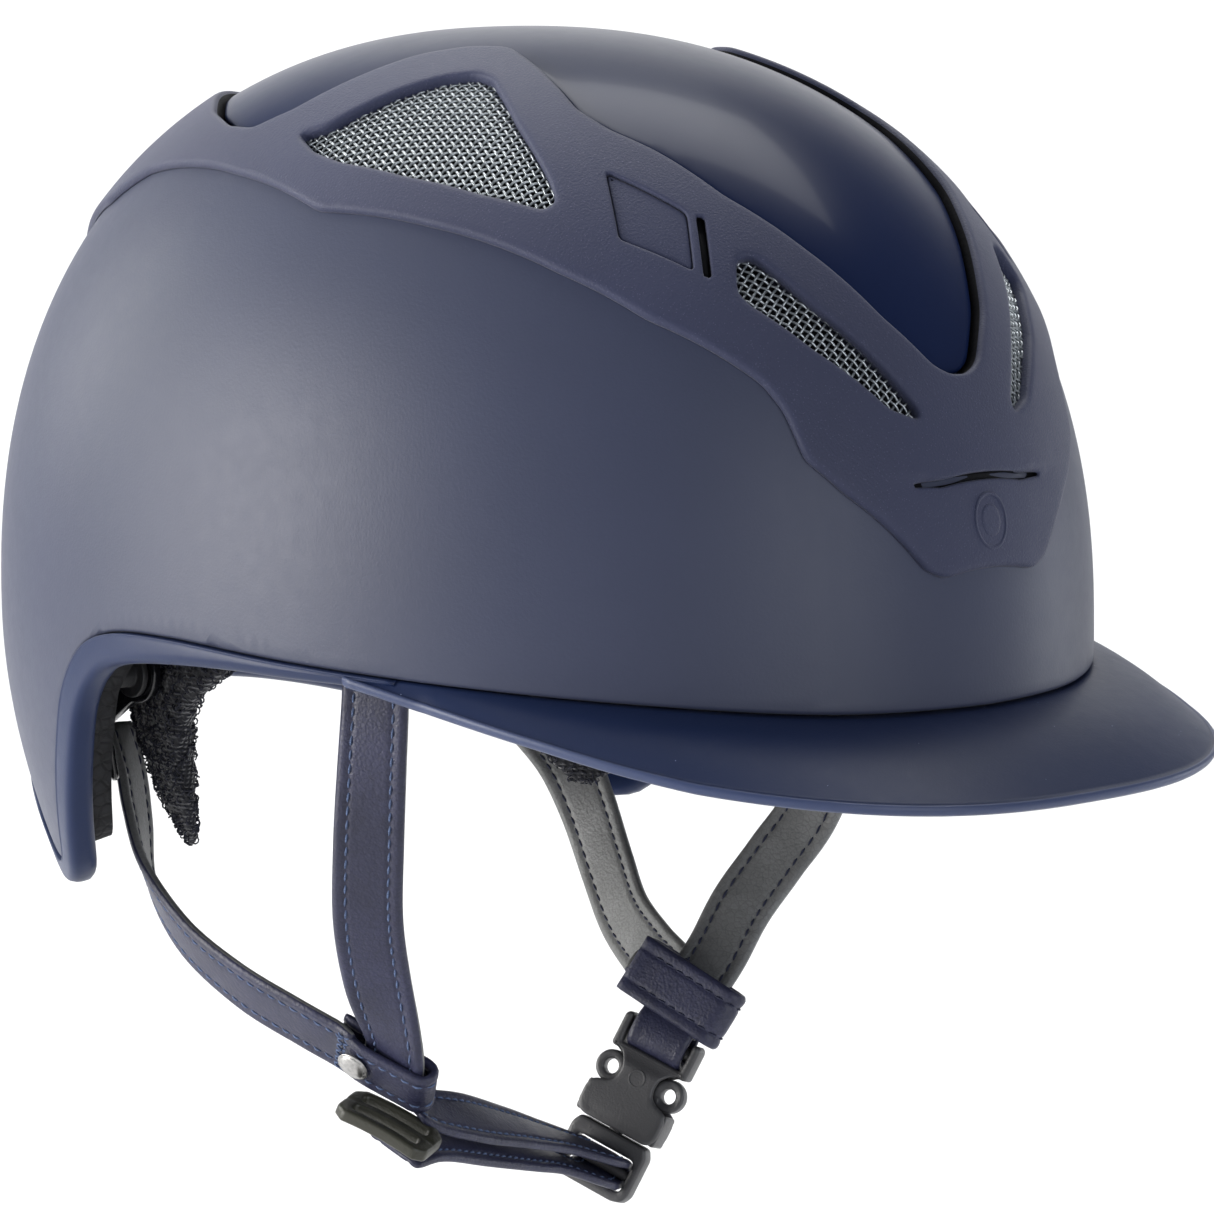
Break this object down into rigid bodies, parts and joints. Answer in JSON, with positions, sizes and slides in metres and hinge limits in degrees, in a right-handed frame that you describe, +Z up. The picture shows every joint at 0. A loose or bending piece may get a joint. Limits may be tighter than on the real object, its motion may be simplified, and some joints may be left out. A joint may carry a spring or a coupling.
{
  "type": "riding helmet",
  "caption": "Peaked riding helmet: vented dome shell with raised crown frame, glossy top panel, padded foam liner, nape cradle and leather Y-yoke harness with side-release buckle.",
  "frame": {"origin": "centre of the widest ring of the outer shell, on the middle plane", "axes": "+Z up toward the crown, -Y toward the peak, +X toward the wearer's left"},
  "size_m": [0.2232, 0.3133, 0.2868],
  "materials": {
    "shell_matte": "matt navy paint over a moulded shell, fine orange peel",
    "frame_soft_touch": "soft-touch matt navy with fine speckle",
    "crown_gloss": "deep gloss navy lacquer",
    "vent_mesh": "woven wire mesh, dark",
    "peak_satin": "satin navy with faint flecks",
    "trim_satin": "satin navy rolled trim",
    "peak_underside": "dark underside lining",
    "foam": "black moulded bead foam",
    "pad_fabric": "black knitted comfort padding",
    "neck_fleece": "looped fleece",
    "hook_tape": "hook tape",
    "cradle_gloss": "glossy black moulding",
    "stud_plastic": "moulded black",
    "strap_leather": "grained navy leather with light blue stitching",
    "snap_metal": "press stud cap",
    "adjuster_plastic": "dark olive black moulding",
    "buckle_plastic": "dark grey acetal, slight sheen"
  },
  "bodies": {
    "helmet": {"outer_shell": "shell_matte", "vent_frame": "frame_soft_touch", "crown_panel": "crown_gloss", "rear_vent_mesh_right": "vent_mesh", "rear_vent_mesh_left": "vent_mesh", "front_vent_mesh_right": "vent_mesh", "front_vent_mesh_left": "vent_mesh", "exhaust_mesh": "vent_mesh", "side_plate_right": "frame_soft_touch", "side_plate_left": "frame_soft_touch", "peak": "peak_satin", "peak_lining": "peak_underside", "edge_trim": "trim_satin", "foam_liner": "foam", "crown_pad": "pad_fabric", "brow_pad": "pad_fabric", "side_pad_right": "pad_fabric", "side_pad_left": "pad_fabric", "rear_pad": "pad_fabric", "cradle_studs": "stud_plastic", "strap_anchors": "stud_plastic", "front_strap_right": "strap_leather", "front_strap_left": "strap_leather", "rear_strap_right": "strap_leather", "rear_strap_left": "strap_leather", "loop_snap": "snap_metal", "buckle_female": "buckle_plastic", "chin_strap": "strap_leather"},
    "nape_support": {"nape_cradle": "cradle_gloss", "neck_pad_mount": "hook_tape", "neck_pad": "neck_fleece"},
    "buckle_plug": {"buckle_male": "buckle_plastic"},
    "prong_front": {"buckle_arm_front": "buckle_plastic"},
    "prong_rear": {"buckle_arm_rear": "buckle_plastic"},
    "adjuster": {"strap_adjuster": "adjuster_plastic"}
  },
  "joints": [
    {"name": "buckle_release", "type": "slide", "parent": "helmet", "child": "buckle_plug", "axis": [-0.4041, 0.2511, -0.8795], "range_m": [0, 0.03], "deforming": ["chin_strap", "buckle_arm_front", "buckle_arm_rear"]},
    {"name": "front_prong_pinch", "type": "hinge", "parent": "buckle_plug", "child": "prong_front", "pos_m": [0.02907, -0.00944, -0.13519], "axis": [-0.8585, -0.4359, 0.27], "range_deg": [0, 8]},
    {"name": "rear_prong_pinch", "type": "hinge", "parent": "buckle_plug", "child": "prong_rear", "pos_m": [0.02553, 0.00024, -0.13081], "axis": [-0.8585, -0.4359, 0.27], "range_deg": [-8, 0]},
    {"name": "adjuster_slide", "type": "slide", "parent": "helmet", "child": "adjuster", "axis": [0.9883, 0.1, -0.115], "range_m": [0, 0.012]},
    {"name": "nape_tilt", "type": "hinge", "parent": "helmet", "child": "nape_support", "pos_m": [0, 0.04, -0.013], "axis": [1, 0, 0], "range_deg": [-3, 1], "deforming": ["rear_strap_right", "rear_strap_left"]}
  ],
  "couplings": [
    {"joint": "rear_prong_pinch", "follows": "front_prong_pinch", "ratio": -1}
  ]
}
